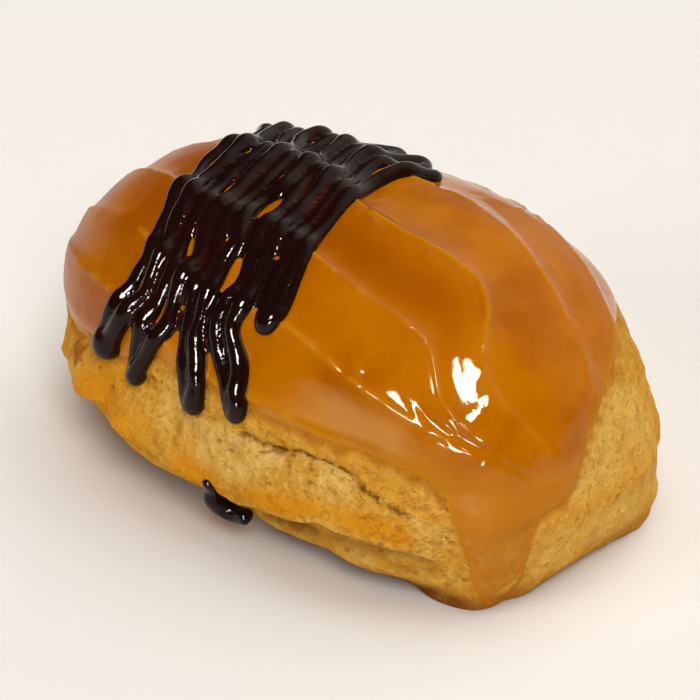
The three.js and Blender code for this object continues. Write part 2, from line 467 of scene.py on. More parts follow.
view = {
    "azimuth": 42.96,
    "elevation": 31.0,
    "distance": 622,
    "target": (0.13, 0.7, 15),
    "photoFocal": 1900,  # pixels, in the 700-pixel photograph
    "frameWidth": 250,  # pixels of the photograph that fill the picture
    "sensor": 36,
}


def directionOf(azimuth, elevation):  # azimuth 0 is the near side, 90 the blunt end
    turn, rise = math.radians(azimuth), math.radians(elevation)
    return Vector((math.sin(turn) * math.cos(rise), -math.cos(turn) * math.cos(rise), math.sin(rise)))


def lookFrom(item, azimuth, elevation, distance):  # stands off the target and faces it
    way = directionOf(azimuth, elevation)
    item.location = (Vector(view["target"]) + distance * way) * mm
    item.rotation_euler = (-way).to_track_quat("-Z", "Y").to_euler()


def addCamera():
    data = bpy.data.cameras.new("camera")
    data.sensor_width = view["sensor"]
    data.lens = view["sensor"] * view["photoFocal"] / view["frameWidth"]
    data.clip_start = 0.01
    data.clip_end = 50
    camera = placed("camera", data)
    lookFrom(camera, view["azimuth"], view["elevation"], view["distance"])
    bpy.context.scene.camera = camera


addCamera()
print("camera placed")


# Where the glaze ends

glazeEdge = {
    # height of the lower edge by the compass angle from the blunt end: it runs down the near corner
    "outline": [
        (-180, 16), (-160, 15.4), (-143, 15.6), (-125, 17.6), (-112, 20.4), (-90, 20.8), (-53, 20.3),
        (-44, 19.6), (-37, 18.6), (-32.4, 17.4), (-29.4, 15.4), (-28, 12.2), (-26, 8.2), (-24.8, 4.6),
        (-22, 2.5), (-18, 2.3), (-16, 4.4), (-15, 10), (-13.8, 12.3), (-8.5, 13.2), (-5.2, 15.3),
        (-0.5, 19.4), (5, 22), (10, 23.9), (20, 25.6), (55, 24), (90, 21.5), (130, 19), (180, 16),
    ],
    "soften": 0.7,  # degrees over which its corners are rounded
    "softenSteps": 40,  # compass angles to each side that are averaged for it
    "waver": 0.25,
    "plans": 3600,  # compass angles at which its height is worked out
    "stride": 4,  # every so many of them are sought on the skin
    "rises": (-36, 80, 180),  # angles above the waist that are tried: first, last, how many
    "rays": 640,
}


def edgeLine():
    # compass angle, and angle above the waist, of points spaced evenly along the glaze's lower edge
    plan = np.linspace(-180, 180, glazeEdge["plans"] + 1)[:-1]
    steps = glazeEdge["softenSteps"]
    kernel = hump(np.arange(-steps, steps + 1) * 360 / glazeEdge["plans"], glazeEdge["soften"])
    padded = np.pad(lineAt(plan, glazeEdge["outline"]), steps, "wrap")
    height = np.convolve(padded, kernel / kernel.sum(), "valid")
    circle = np.stack([np.cos(np.radians(plan)), np.sin(np.radians(plan)), 0 * plan], -1)
    height = height + glazeEdge["waver"] * lumps(30 * circle, 3.5, 21)

    plan, height = plan[::glazeEdge["stride"]], height[::glazeEdge["stride"]]
    rises = np.linspace(*glazeEdge["rises"])
    tops = bunForm(*skinBeyond(plan[:, None], rises[None, :]))[..., 2]
    over = np.argmax(tops > height[:, None], axis=1)
    rows = np.arange(len(over))
    low, high = tops[rows, over - 1], tops[rows, over]
    rise = rises[over - 1] + (rises[over] - rises[over - 1]) * (height - low) / (high - low)
    loop = bunForm(*skinBeyond(plan, rise))
    stops = evenStops(np.concatenate([loop, loop[:1]]), glazeEdge["rays"] + 1)[:-1]
    return takeAt(stops, np.append(plan, 180)), takeAt(stops, np.append(rise, rise[0]))


edgePlan, edgeRise = edgeLine()
edgePlace = bunForm(*skinBeyond(edgePlan, edgeRise))


def toEdge(points):  # distance to the glaze's edge, a row of points at a time
    return np.array([lengthOf(row[:, None, :] - edgePlace[None]).min(1) for row in points])


def aboveEdge(points):  # height above the glaze's edge at the same compass angle
    x, y, z = axesOf(points)
    order = np.argsort(edgePlan)
    return z - np.interp(angleOf(x, y), edgePlan[order], edgePlace[order, 2], period=360)


print("glaze edge traced:", len(edgePlan), "points")


# Baked choux bun

choux = {
    "rows": 520,
    "columns": 188,
    "columnsPerMm": {"near": 5.0, "far": 2.4, "dome": 0.35, "base": 0.4},
    "wallBetween": (0.2, 25),  # heights between which the columns are those of a wall
    # lines along the near wall, as place along the bun and height
    "crack": [
        (-7, 16), (5, 16.8), (11, 17), (14, 17.4), (17, 17.6), (19.5, 16.9), (22.4, 15.7), (25, 14.3),
        (29, 13),
    ],
    "lip": [
        (-30, 12), (-24, 11.2), (-15, 10.8), (-10.5, 9.8), (-5.3, 8.9), (-2.3, 8.6), (1, 8.2), (5, 7.4),
        (9, 8.3), (12.2, 9), (18.2, 10.2), (24.8, 9.9), (29, 8.8), (31, 7.4),
    ],
    # hollows under the lip: along, height, half-length, half-height, depth
    "pockets": [(12.6, 6.7, 4.2, 1.6, 1.3), (21, 7.3, 3.6, 1.2, 0.8), (27.4, 6, 2.6, 0.9, 0.5)],
    # swells and dents of the near wall: along, height, reach, how far they stand out
    "lobes": [
        (-21, 12.4, 3.2, 0.7), (-16.8, 10.6, 1.5, -0.9), (-12, 10.8, 3.4, 1), (-7.6, 7.6, 1.7, -0.9),
        (-3.6, 9.4, 2.6, 0.6), (16, 5.2, 2.4, -0.4), (21.5, 5.4, 3, 0.6),
    ],
    "footWave": 0.7,  # how far the foot strays in and out
    # where the near foot is drawn in: along, half-length, depth, heights between which it fades
    "footTucks": [(-1, 8, 1.3, 2, 8), (27, 4, 1.3, 1.5, 6), (14, 6, 0.7, 1.5, 6)],
    # how far each kind of relief stands out
    "relief": {
        "folds": 0.4, "grain": 0.04, "fibres": 0.16, "torn": 0.16, "roll": 0.4, "lip": 0.9, "tuck": -0.5,
        "crack": -0.4, "pocket": -1, "pits": -0.6, "lobe": 1, "farFolds": 0.35, "overhang": -0.6,
        "foot": 0.3,
    },
    "lumps": [(7, 45, 0.3), (2.8, 47, 0.22), (1.1, 49, 0.11)],  # cell, seed, height
    "spot": (-23.4, -20.7, 14.1),  # caramel splash on the round end
    # hollows by place and reach
    "namedPits": [
        (-9.3, -23.2, 17.6, 0.7), (-8.5, -23.1, 19, 0.6), (-7.7, -23.5, 18, 0.45),
        (-10.6, -23.3, 16.8, 0.4), (-1.4, -24, 16.4, 0.75), (0.3, -24.3, 15.2, 0.4), (2.7, -24.6, 15, 0.5),
        (4.6, -24.7, 14.4, 0.55), (5.7, -23.9, 16.8, 0.7), (7.6, -23.8, 16.8, 0.65), (9.1, -24.1, 15.8, 0.5),
        (10.4, -23.6, 16.5, 0.8), (11.3, -23.6, 16.7, 0.9), (12.9, -23.4, 16.7, 0.7),
        (15.7, -22.9, 17.2, 0.5), (15.9, -23.7, 14.5, 0.5), (-15.7, -23.4, 13.9, 0.5),
        (-18.5, -22.3, 14.9, 0.45), (-3.2, -24.6, 14, 0.4), (-5.6, -24.5, 15.6, 0.4),
    ],
    "loosePits": 200,
    "pitSize": (0.16, 0.34),  # least reach of a loose one, and what chance adds
    "pitFlat": 1.5,  # pits are so much wider than high
    "seed": 5,
}


def chouxGrid():
    # stations from tip to tip at even spacing, and angles that are dense on the walls that show
    fine = np.linspace(-90, 90, 1801)
    stops = evenStops(bunForm(fine, np.zeros_like(fine)), choux["rows"])
    station = takeAt(stops, fine)[1:-1]
    turn = np.linspace(0, 360, 3601)
    ring = bunForm(np.zeros_like(turn), turn)
    middle = (ring[1:] + ring[:-1]) / 2
    detail = choux["columnsPerMm"]
    wall = np.where(middle[:, 1] < 0, detail["near"], detail["far"])
    low, high = choux["wallBetween"]
    height = middle[:, 2]
    weight = np.where(height < low, detail["base"], np.where(height > high, detail["dome"], wall))
    angle = takeAt(evenStops(ring, choux["columns"] + 1, weight)[:-1], turn)
    return np.meshgrid(station, angle, indexing="ij")


def pitField(points, bare, near):
    # hollows and the painted shade in them: named ones by place, loose ones seeded over the bare crust
    draw = np.random.default_rng(choux["seed"])
    chance = (bare * (0.15 + near) * (points[..., 2] > 1)).ravel()
    loose = draw.choice(chance.size, choux["loosePits"], False, chance / chance.sum())
    least, more = choux["pitSize"]
    size = least + more * draw.random(choux["loosePits"]) ** 2
    named = np.array(choux["namedPits"])
    picked = np.concatenate([named[:, :3] + bun["centre"], points.reshape(-1, 3)[loose]])
    size = np.concatenate([named[:, 3], size])
    depth = np.zeros(points.shape[:2])
    dark = np.zeros(points.shape[:2])
    ragged = 0.25 * lumps(points, 0.8, 36)
    for place, reach in zip(picked, size):
        away = points - place
        away[..., 2] *= choux["pitFlat"]
        bowl = hump(np.maximum(lengthOf(away) + ragged * reach, 0), 0.8 * reach)
        depth = np.maximum(depth, reach * bowl)
        # painted shade, darker deeper in the bowl and in the wider hollows
        dark = np.maximum(dark, easeStep(bowl, 0.25, 0.75) * easeStep(reach, 0.15, 0.5))
    return depth, dark


def chouxRelief(points, bare):
    # height of the crust over the plain form, and the masks that its colours follow
    x, y, z = axesOf(points)
    near = easeStep(-y, 4, 14) * easeOff(x, 31, 35)
    away = 1 - near
    crackLine = lineAt(x, choux["crack"]) + 0.5 * lumps(points, 2.4, 31)
    onCrack = near * between(x, 4, 9, 26, 29)
    crack = onCrack * easeStep(lumps(points, 1.3, 37), -0.5, 0.3) * hump(z - crackLine, 0.3)

    # the skin swells down to a lip and tucks in sharply under it
    under = lineAt(x, choux["lip"]) + 0.45 * lumps(points, 3.5, 35) - z
    onLip = near * between(x, -33, -26, 29, 32)
    lip = onLip * np.where(under < 0, np.exp(under / 2.8), hump(under, 0.55))
    tuck = onLip * np.where(under < 0, 0, hump(under - 1.3, 1.2))
    roll = away * hump(z - 11 - 0.7 * lumps(points, 6, 33), 2.0)

    pocket = np.zeros_like(x)
    for at, height, long, tall, deep in choux["pockets"]:
        offset = z - height
        tall = np.where(offset > 0, 0.6 * tall, tall)  # steepest under the roll
        pocket += near * deep * np.exp(-((x - at) / long) ** 4 - (offset / tall) ** 2)
    lobe = np.zeros_like(x)
    for at, high, reach, out in choux["lobes"]:
        lobe += near * out * hump(np.hypot(x - at, z - high), reach)
    grain = streaks(43, (x - 0.8 * z) / 3.2, (z + 0.8 * x) / 0.55, y / 3)
    fibrous = near * easeStep(x, 20, 29) * hump(z - 12, 6)
    # upright streaks where the skin has torn, round the crack
    streak = streaks(44, (x + 0.35 * z) / 0.9, (z - 0.35 * x) / 3, y / 3)
    torn = near * between(x, -14, 0, 18, 26) * hump(z - crackLine + 1, 3.4)
    pits, pitShade = pitField(points, bare, near)
    foot = easeOff(z, 1.4, 4.4)

    shapes = {
        "folds": near * easeOff(x, 2, 12) * streaks(41, (x + 1.4 * z) / 2.2, (x - z) / 5, y / 6),
        "grain": grain,
        "fibres": fibrous * grain,
        "torn": torn * streak,
        "roll": roll, "lip": lip, "tuck": tuck, "crack": crack, "pocket": pocket, "pits": pits, "lobe": lobe,
        "farFolds": away * streaks(60, x / 7, z / 1.5, y / 7),  # low folds along the far wall
        "overhang": easeOff(x, -34, -24) * hump(z - 14, 4),  # glaze overhangs the round end
        "foot": foot * lumps(points, 1.8, 51),
    }
    height = sum(choux["relief"][name] * shape for name, shape in shapes.items())
    height += sum(out * lumps(points, cell, seed) for cell, seed, out in choux["lumps"])
    for at, reach, deep, low, high in choux["footTucks"]:
        height -= near * deep * hump(x - at, reach) * easeOff(z, low, high)

    left = easeOff(x, -4, 6)
    glow = near * blendOf(hump(under + 1.9, 1.3), hump(under + 1.2, 3.2), left)
    glow = (1.3 * glow + 0.4 * near * easeOff(x, -13, -3)) * easeStep(lumps(points, 5, 53), -0.9, 0.2)
    # painted highlight along the lower edge of the lip
    edge = onLip * hump(under + 0.1, 0.4) * easeStep(lumps(points, 2, 54), -0.4, 0.5)
    upper = near * easeStep(-under, 2.5, 5) * easeStep(lumps(points, 3, 46), -0.7, 0.5) * easeStep(x, -10, 4)
    over = near * easeStep(z - crackLine, -0.6, 0.6) * easeStep(x, -2, 6)
    # paler blunt end: painted light
    blunt = easeStep(x, 34, 37) * easeStep(z, 2, 6)
    # lighter colour: painted highlights on the lip's edge and the swells, painted light on the blunt end,
    # and the crust's own paler upper wall, grain and torn streaks
    lift = 0.8 * edge + 0.8 * upper + 0.4 * blunt + 0.5 * lobe + (0.06 + 0.4 * fibrous) * grain
    lift += 0.7 * torn * easeStep(streak, 0.1, 0.6)
    aroundCrack = near * easeStep(x, -4, 6) * hump(z - crackLine + 0.5, 2.2)
    masks = {
        # painted shade in the crack, in the pockets under the lip, and in the tuck under the lip away from
        # the left end
        "hollowShade": np.clip(0.6 * crack + 0.5 * pocket + 0.3 * tuck * (1 - left), 0, 1),
        # painted shade in the pits
        "poreShade": pitShade,
        "toast": np.clip(glow + 0.5 * roll + 0.6 * tuck * left + 0.3 * over, 0, 1),
        "torn": torn * easeStep(-streak, 0.25, 0.75),
        # darker towards the floor: the crust's own browned foot, with painted shade where it meets the floor
        "foot": foot * (1 - 0.65 * easeStep(x, 31, 35)),
        # painted highlights and light, with the crust's own paler tone
        "lift": np.clip(lift * (1 - 0.85 * over), 0, 1),
        "crackOff": np.clip(z - crackLine, -4, 4),
        "cracked": onCrack,
        "fibre": np.clip(fibrous + 0.35 * aroundCrack, 0, 1),
    }
    return height, masks


def footWaved(points):
    # the foot strays in and out in plan, by a slow noise round the bun that fades up the wall
    middle = points - bun["centre"]
    out = lengthOf(middle[..., :2])
    ring = middle * (1, 1, 0) / np.maximum(out, 1)[..., None]
    wave = lumps(26 * ring, 4.5, 56) + 0.6 * lumps(26 * ring, 2, 58)
    grow = choux["footWave"] * wave * easeOff(middle[..., 2], 1, 6) / np.maximum(out, 4)
    return points + grow[..., None] * middle * (1, 1, 0)


def chouxStain(points):
    # glaze soaked into the crust: an uneven band under its edge and all down the corner
    below = -aboveEdge(points)
    x, y, z = axesOf(points)
    edge = easeOff(below + 0.5 * lumps(points, 1.6, 55) + 0.3 * lumps(points, 4, 57), 0, 1.3)
    corner = hump(angleOf(x, y) + 20.5, 4.5) * easeOff(z, 5, 8)
    return np.clip(edge + corner, 0, 1)


def chouxSplash(points):  # one ragged splash of glaze on the round end
    away = lengthOf(points - bun["centre"] - choux["spot"]) + 0.7 * lumps(points, 1.3, 59)
    return easeOff(away, 1.1, 1.8)


def crackMark(tree):
    # a thin toothed line of painted shade along the crack: the height over the crack, shaken by fine noise,
    # is cut close to nothing
    shake = {"Scale": 1500.0, "Detail": 3.0}
    noise = addNode(tree, "ShaderNodeTexNoise", {"Vector": ownPlace(tree), **shake}).outputs["Fac"]
    parts = {0: noise, 1: 1.6, 2: attributeOf(tree, "crackOff")}
    shaken = addNode(tree, "ShaderNodeMath", parts, operation="MULTIPLY_ADD").outputs[0]
    centred = addNode(tree, "ShaderNodeMath", {0: shaken, 1: 0.8}, operation="SUBTRACT").outputs[0]
    size = addNode(tree, "ShaderNodeMath", {0: centred}, operation="ABSOLUTE").outputs[0]
    levels = {"From Min": 0.06, "From Max": 0.3, "To Min": 1.0, "To Max": 0.0}
    cut = addNode(tree, "ShaderNodeMapRange", {"Value": size, **levels}).outputs["Result"]
    line = product(tree, cut, uneven(tree, 520, 2, 0.4, 0.56))
    return product(tree, line, attributeOf(tree, "cracked"))


def fibreMarks(tree, lean, low, high):
    # short strokes: noise drawn out along a lean in the wall's plane, cut between two levels
    turn = {"Vector": ownPlace(tree), "Angle": math.radians(lean)}
    turned = addNode(tree, "ShaderNodeVectorRotate", turn, rotation_type="Y_AXIS").outputs["Vector"]
    stretch = {"Vector": turned, "Scale": (480.0, 900.0, 2700.0)}
    drawn = addNode(tree, "ShaderNodeMapping", stretch).outputs["Vector"]
    noise = addNode(tree, "ShaderNodeTexNoise", {"Vector": drawn, "Scale": 1.0, "Detail": 2.0})
    cut = cutBetween(tree, noise.outputs["Fac"], low, high)
    return product(tree, cut, attributeOf(tree, "fibre"))


def chouxMaterial():
    look = {
        "crust": (208, 147, 42),
        "gold": (228, 173, 60),
        "orange": (226, 146, 8),
        "toast": (188, 118, 26),
        "brown": (128, 70, 14),
        # painted shade for the crack and the hollows
        "hollowShade": (116, 64, 10),
        # pale: the crust's own pale tone, also used for painted highlights
        "pale": (246, 208, 122),
        "stain": (186, 112, 12),
        "amber": (164, 88, 4),
    }
    material, tree, shader = newMaterial("bakedChoux", Roughness=0.6, Specular_IOR_Level=0.03)
    crack = crackMark(tree)
    strokes = fibreMarks(tree, 38, 0.53, 0.62)
    threads = fibreMarks(tree, -32, 0.53, 0.64)
    # the browned foot, with painted shade where it meets the floor
    foot = product(tree, attributeOf(tree, "foot"), uneven(tree, 500, 3, 0.1, 0.5))
    layers = [
        (uneven(tree, 420, 4, 0.36, 0.64), 1.0, "gold"),
        # painted highlights and light, with the crust's own paler tone
        ("lift", 0.7, "pale"),
        (threads, 0.55, "pale"),
        (uneven(tree, 1300, 3, 0.5, 0.68), 0.4, "pale"),
        (uneven(tree, 160, 2, 0.42, 0.72), 0.4, "orange"),
        ("toast", 0.9, "orange"),
        (uneven(tree, 1000, 4, 0.52, 0.68), 0.6, "toast"),
        ("torn", 0.6, "toast"),
        (foot, 1.0, "brown"),
        (uneven(tree, 2200, 2, 0.6, 0.74), 0.32, "brown"),
        (strokes, 0.2, "toast"),
        # painted shade along the crack and in the hollows under the lip
        (crack, 0.9, "hollowShade"),
        ("hollowShade", 1.0, "hollowShade"),
        # painted shade in the pits
        ("poreShade", 0.7, "brown"),
        ("stain", 0.9, "stain"),
        ("splash", 0.85, "amber"),
    ]
    paintLayers(tree, shader, look, "crust", layers)
    furrow = calculate(tree, "SUBTRACT", 1.0, calculate(tree, "MAXIMUM", crack, strokes))
    fine = uneven(tree, 2400, 4, 0.2, 0.8)
    coarse = uneven(tree, 900, 3, 0.2, 0.8)
    addBumps(tree, shader, (fine, 0.7, 0.0003), (coarse, 0.55, 0.0005), (furrow, 0.6, 0.0003))
    return material


def makeChoux():
    station, angle = chouxGrid()
    points = bunForm(station, angle)
    above = aboveEdge(points)
    bare = easeOff(above, -0.2, 1.6)
    height, masks = chouxRelief(points, bare)
    masks["stain"] = chouxStain(points)
    masks["splash"] = chouxSplash(points)
    grounded = easeStep(points[..., 2], 0.05, 1.4)
    clear = easeOff(above, -2.2, 0.2)  # smooth where the glaze lies
    points = footWaved(points + (height * clear * grounded)[..., None] * outwardAt(station, angle))
    points[..., 2] = np.maximum(points[..., 2], 0)
    roundTip, bluntTip = (bunForm(np.array(end), np.array(0.0)) for end in (-90.0, 90.0))
    mesh = ringMesh("choux", points, roundTip, bluntTip)
    for name, mask in masks.items():
        addAttribute(mesh, name, np.append(mask * bare, [mask[0].mean(), mask[-1].mean()]))
    return addPiece("choux", mesh, chouxMaterial(), "choux_bun")


makeChoux()
print("choux bun made")


# Caramel glaze

caramel = {
    "rings": 130,
    "innerRings": 10,
    "thickness": 1.0,
    "film": (0.12, 11.2, 13.2),  # share of the thickness left down the corner, between which heights
    # height up to which the glaze has dried dull, by the place along the bun; a painted sheen follows it on
    # the near side
    "dryTop": [(19, 0), (23.5, 19.6), (27, 20.6), (32, 18.5), (38, 17)],
    "dryRim": 2.4,  # and how far from its edge on the blunt end
    # the painted sheen reaches up to this height
    "paintedSheenTop": [(5, 23.5), (17, 25.4), (23.5, 24.6), (29.4, 22.3)],  # height up to which it is pale
    "feather": 1.9,  # how fast it thins to nothing at the edge
    "sunk": 0.5,  # how far its hidden side lies in the crust
    "bead": (0.22, 0.42),  # height and reach of the broken thread along a crest
    # short wrinkles that catch the light: along and angle of start and end, height
    "wrinkles": [
        (24.1, 40.3, 27.6, 33.6, 0.3), (27.3, 40.5, 30, 36.7, 0.3), (31.1, 56.5, 31.1, 48.6, 0.3),
        (31.1, 48.6, 30.2, 39.3, 0.3), (32.4, 44.8, 31.7, 38.2, 0.25), (30.4, 32.1, 33.9, 38.1, 0.22),
        (5.6, 83.9, 8.5, 81.9, 0.25), (33.6, 36.6, 33.9, 36, 0.25), (34.6, 33.4, 34.9, 32.8, 0.25),
        (33, 33.6, 33.3, 33, 0.25), (28.4, 61, 29.6, 60, 0.2), (16, 42.5, 19, 41.5, 0.2),
    ],
    "wrinkleReach": 0.45,
    "bubbles": 60,
    "seed": 9,
}


def caramelRings():
    # rays from inside the bun, fanned from the crown down to the edge, closer together near the edge
    share = 1 - (1 - np.linspace(0, 1, caramel["rings"])[1:]) ** 1.25
    rise = blendOf(90, edgeRise[None, :], share[:, None])
    return skinBeyond(np.broadcast_to(edgePlan, rise.shape), rise)


def filmMask(points):  # 1 where the glaze is only a smear down the corner
    _, low, high = caramel["film"]
    stray = 0.6 * lumps(points, 3, 62) + 0.3 * lumps(points, 1.1, 64)
    return easeOff(points[..., 2] + stray, low, high)


def isDry(points, away):  # where the glaze has lost its shine
    x, _, z = axesOf(points)
    stray = lumps(points, 3, 70) + 0.5 * lumps(points, 1.2, 72)
    low = z + stray < lineAt(x, caramel["dryTop"])
    rim = (x > 30) & (away + stray < caramel["dryRim"])
    return low | rim | (filmMask(points) > 0.5)


def crestThread(points, share, angle):  # 0 to 1, a thin broken line along each crest
    broken = easeStep(lumps(points, 1.7, 65) + 0.5 * lumps(points, 5, 67), -0.35, 0.45)
    return hump(crestDistance(share, angle), caramel["bead"][1]) * broken * ridgeFade(share, angle)


def caramelThickness(points, away, thread):
    # a coat that thins to nothing at its edge, with slow waves, crest threads, wrinkles and bubbles
    coat = caramel["thickness"] * blendOf(caramel["film"][0], 1, 1 - filmMask(points))
    coat *= 1 + 0.1 * lumps(points, 8, 61) + 0.03 * lumps(points, 2.2, 63)
    coat += caramel["bead"][0] * thread
    for startX, startAngle, endX, endAngle, height in caramel["wrinkles"]:
        ends = bunForm(stationAt(np.array([startX, endX])), np.array([startAngle, endAngle]))
        distance, along = fromSegment(points, *ends)
        coat += height * hump(distance, caramel["wrinkleReach"]) * np.sin(np.pi * np.clip(along, 0.08, 0.92))
    draw = np.random.default_rng(caramel["seed"])
    inner = np.flatnonzero((away > 3).ravel())
    for place in points.reshape(-1, 3)[draw.choice(inner, caramel["bubbles"], replace=False)]:
        reach = draw.uniform(0.25, 0.5)
        coat += 0.3 * reach * hump(lengthOf(points - place), reach)
    return coat * (1 - np.exp(-away / caramel["feather"]))


def caramelMaterial(name, shine, roughness):
    look = {
        "amber": (185, 105, 0),
        "deep": (152, 72, 0),
        "gold": (202, 130, 14),
        "film": (184, 111, 10),
        # smear: the thin glaze's own colour, also used for a painted sheen
        "smear": (192, 122, 34),
        "edge": (194, 124, 22),
        "worn": (208, 144, 66),
        # pale: a painted sheen
        "pale": (210, 146, 70),
    }
    tint = paint(255, 236, 206)
    material, tree, shader = newMaterial(name, IOR=1.46, Specular_IOR_Level=shine, Specular_Tint=tint)
    film = attributeOf(tree, "film")
    worn = product(tree, film, uneven(tree, 420, 3, 0.46, 0.66))
    layers = [
        (uneven(tree, 85, 4, 0.36, 0.7), 0.7, "deep"),
        ("deep", 0.8, "deep"),
        ("crest", 0.6, "gold"),
        ("rim", 0.45, "gold"),
        (film, 0.9, "film"),
        ("smear", 0.8, "smear"),
        # painted sheen in the smear's colour
        ("sheen", 0.55, "smear"),
        # painted sheen
        ("pale", 0.55, "pale"),
        (worn, 0.5, "worn"),
        ("edge", 1.0, "edge"),
    ]
    paintLayers(tree, shader, look, "amber", layers)
    matte = calculate(tree, "ADD", product(tree, attributeOf(tree, "dull"), 0.5), roughness)
    feed(shader.inputs["Roughness"], matte)
    ripple = uneven(tree, 700, 3, 0.2, 0.8)
    froth = product(tree, uneven(tree, 1700, 2, 0.5, 0.7), attributeOf(tree, "crest"))
    grain = product(tree, uneven(tree, 1500, 4, 0.3, 0.7), film)
    addBumps(tree, shader, (ripple, 0.06, 0.0002), (froth, 0.3, 0.0002), (grain, 0.5, 0.0003))
    return material


def makeCaramel():
    station, angle = caramelRings()
    skin = bunForm(station, angle)
    away = toEdge(skin)
    x, y, z = axesOf(skin)
    share = x / halfLength
    thread = crestThread(skin, share, angle)
    coat = caramelThickness(skin, away, thread)
    outer = bunForm(station, angle, coat)
    inner = bunForm(station, angle, -caramel["sunk"])
    back = np.linspace(caramel["rings"] - 2, 8, caramel["innerRings"]).astype(int)
    rings = np.concatenate([outer, inner[back]])
    crown = bunForm(np.array(0.0), np.array(90.0), np.array([caramel["thickness"], -caramel["sunk"]]))
    mesh = ringMesh("caramel", rings[:, ::-1], crown[0], crown[1])
    hidden = np.zeros((caramel["innerRings"], len(edgePlan)))
    panel = hump(ridgeLean(share, angle) - 72, 8) * between(x, -12, 0, 20, 29)
    roundEnd = 0.9 * easeOff(x, -20, -14) * easeStep(lumps(skin, 5, 66), -0.6, 0.6)
    # painted sheen: a pale wedge on the near side, clear of the edge
    pale = easeOff(z - lineAt(x, caramel["paintedSheenTop"]), -2, 1) * easeStep(away, 0.9, 1.8)
    film = filmMask(skin)
    masks = {
        "crest": thread,
        "rim": hump(away - 0.8, 1.3),
        "deep": np.maximum(panel, roundEnd),
        "film": film,
        "dull": np.maximum(film, 0.5 * easeOff(x, -26, -14)),
        "smear": film * easeStep(y + 0.6 * lumps(skin, 2, 68), -15.2, -13.8),
        # painted sheen low on the near side
        "sheen": easeOff(z - lineAt(x, caramel["dryTop"]), -1, 2) * (y < 0),
        "pale": pale * (y < 0) * between(x, 8, 17, 24, 27.5),
        "edge": easeOff(away + 0.25 * lumps(skin, 1.2, 69), 0, 0.8),
    }
    for name, mask in masks.items():
        grid = np.concatenate([mask, hidden])[:, ::-1]
        addAttribute(mesh, name, np.append(grid, [0, 0]))
    glossy = caramelMaterial("caramelGlaze", 0.25, 0.07)
    piece = addPiece("caramel", mesh, glossy, "caramel_glaze")
    mesh.materials.append(caramelMaterial("caramelDry", 0.05, 0.35))
    dry = isDry(skin, away)[:-1, ::-1]
    worn = np.zeros(len(mesh.polygons), np.int32)
    worn[:dry.size] = dry.ravel()
    mesh.polygons.foreach_set("material_index", worn)
    return piece


makeCaramel()
print("caramel glaze made")


# Chocolate zigzag and drip

chocolate = {
    # turns in order, by place along the bun and angle up from the near side
    "turns": [
        (-24.5, 126), (-17.2, 14.5), (-19.6, 131), (-11.8, 10.5), (-14.2, 128), (-1.5, 12.5),
        (-8.6, 133), (4.6, 15.5), (-3, 127), (5.5, 41), (2.2, 118),
    ],
    # band that the passes share out evenly: angle, place of the first pass and of the last
    "band": [
        (12, -17.2, 6.8), (22, -16.6, 6.8), (35, -15.2, 6.4), (50, -15.6, 5.6), (61, -17.4, 5),
        (74, -18.7, 3.2), (90, -19.9, 1.6), (104, -21.3, -0.5), (126, -24, -3),
    ],
    "gather": 24,  # degrees from a turn within which a pass joins the band
    "turnRound": 10,  # degrees over which two passes part at their turn
    "wobble": 0.65,
    "radius": 1.04,
    "lowSwell": (0.15, 22, 46),  # share that a strand is thicker low on the wall, between which angles
    "rise": -0.15,  # of a strand's middle above the glaze
    "overlap": 0.45,  # how much higher every other pass lies
    "crestSwell": (0.25, 1.3, 30, 45),  # share that it is thicker on a ridge, how near, by which angles
    "blobs": [0.95, 0.2, 0.05, 0, 0.2],  # extra radius at the near turns
    "blobReach": 1.6,
    "taper": 1.2,  # length over which both ends run out
    "melt": 7,  # the lower, the more the strands run into each other
    "spacing": 0.45,  # of the balls that a strand is made of
    "fat": 0.15,  # what the strands are thicker by before they are fused
    "settle": 0.2,  # what they are thinner by when they melt
    "voxel": 0.27,
}
drip = {
    # place along, angle, and height over the plain form
    "route": [
        (2, -3, 0.5), (1.7, -9, 0.8), (1.3, -16, 1.0), (1.3, -24, 1.2), (2, -31, 1.3), (3.3, -32, 1.1),
        (4.8, -28, 0.8), (6, -25, 0.3),
    ],
    "radius": 1.1,
    "belly": (0.74, 0.55, 0.28),  # share of the radius elsewhere, where it is fattest, how far that reaches
    "taper": 0.08,  # share of its length over which both ends run out
    "backing": 2.0,  # how far its hidden side reaches in, in radii
}


def bandPlace(angle, i):  # place along the bun of a pass that lies in the band
    angles, first, last = np.transpose(chocolate["band"])
    share = i / (len(chocolate["turns"]) - 2)
    return blendOf(np.interp(angle, angles, first), np.interp(angle, angles, last), share)


def zigzagRoute():
    # place along and angle: each pass keeps to its share of the band, and towards a turn it moves over
    # to the turn's place while it closes up, as a square root, with the pass that it turns into
    way = np.linspace(0, 1, 160)
    turns = chocolate["turns"]
    passes = len(turns) - 1
    route = []
    for i in range(passes):
        angle = blendOf(turns[i][1], turns[i + 1][1], way)
        x = bandPlace(angle, i)
        x = x + chocolate["wobble"] * lumps(np.stack([angle / 2.2, 0 * way + 9 * i, 0 * way], -1), 3.5, 75)
        ends = ((turns[i], max(i - 1, 0)), (turns[i + 1], min(i + 1, passes - 1)))
        for (turnX, turnAngle), beside in ends:
            away = np.abs(angle - turnAngle)
            middle = (bandPlace(angle, i) + bandPlace(angle, beside)) / 2
            turnMiddle = (bandPlace(turnAngle, i) + bandPlace(turnAngle, beside)) / 2
            x = x + (turnX - turnMiddle) * easeOff(away, 0, chocolate["gather"])
            parted = np.sqrt(np.clip(away / chocolate["turnRound"], 0, 1))
            x = blendOf(x + middle - bandPlace(angle, i), x, parted)
        level = np.full_like(x, chocolate["overlap"] * (i % 2))
        route.append(np.stack([x, angle, level], -1)[(i > 0):])
    return np.concatenate(route)


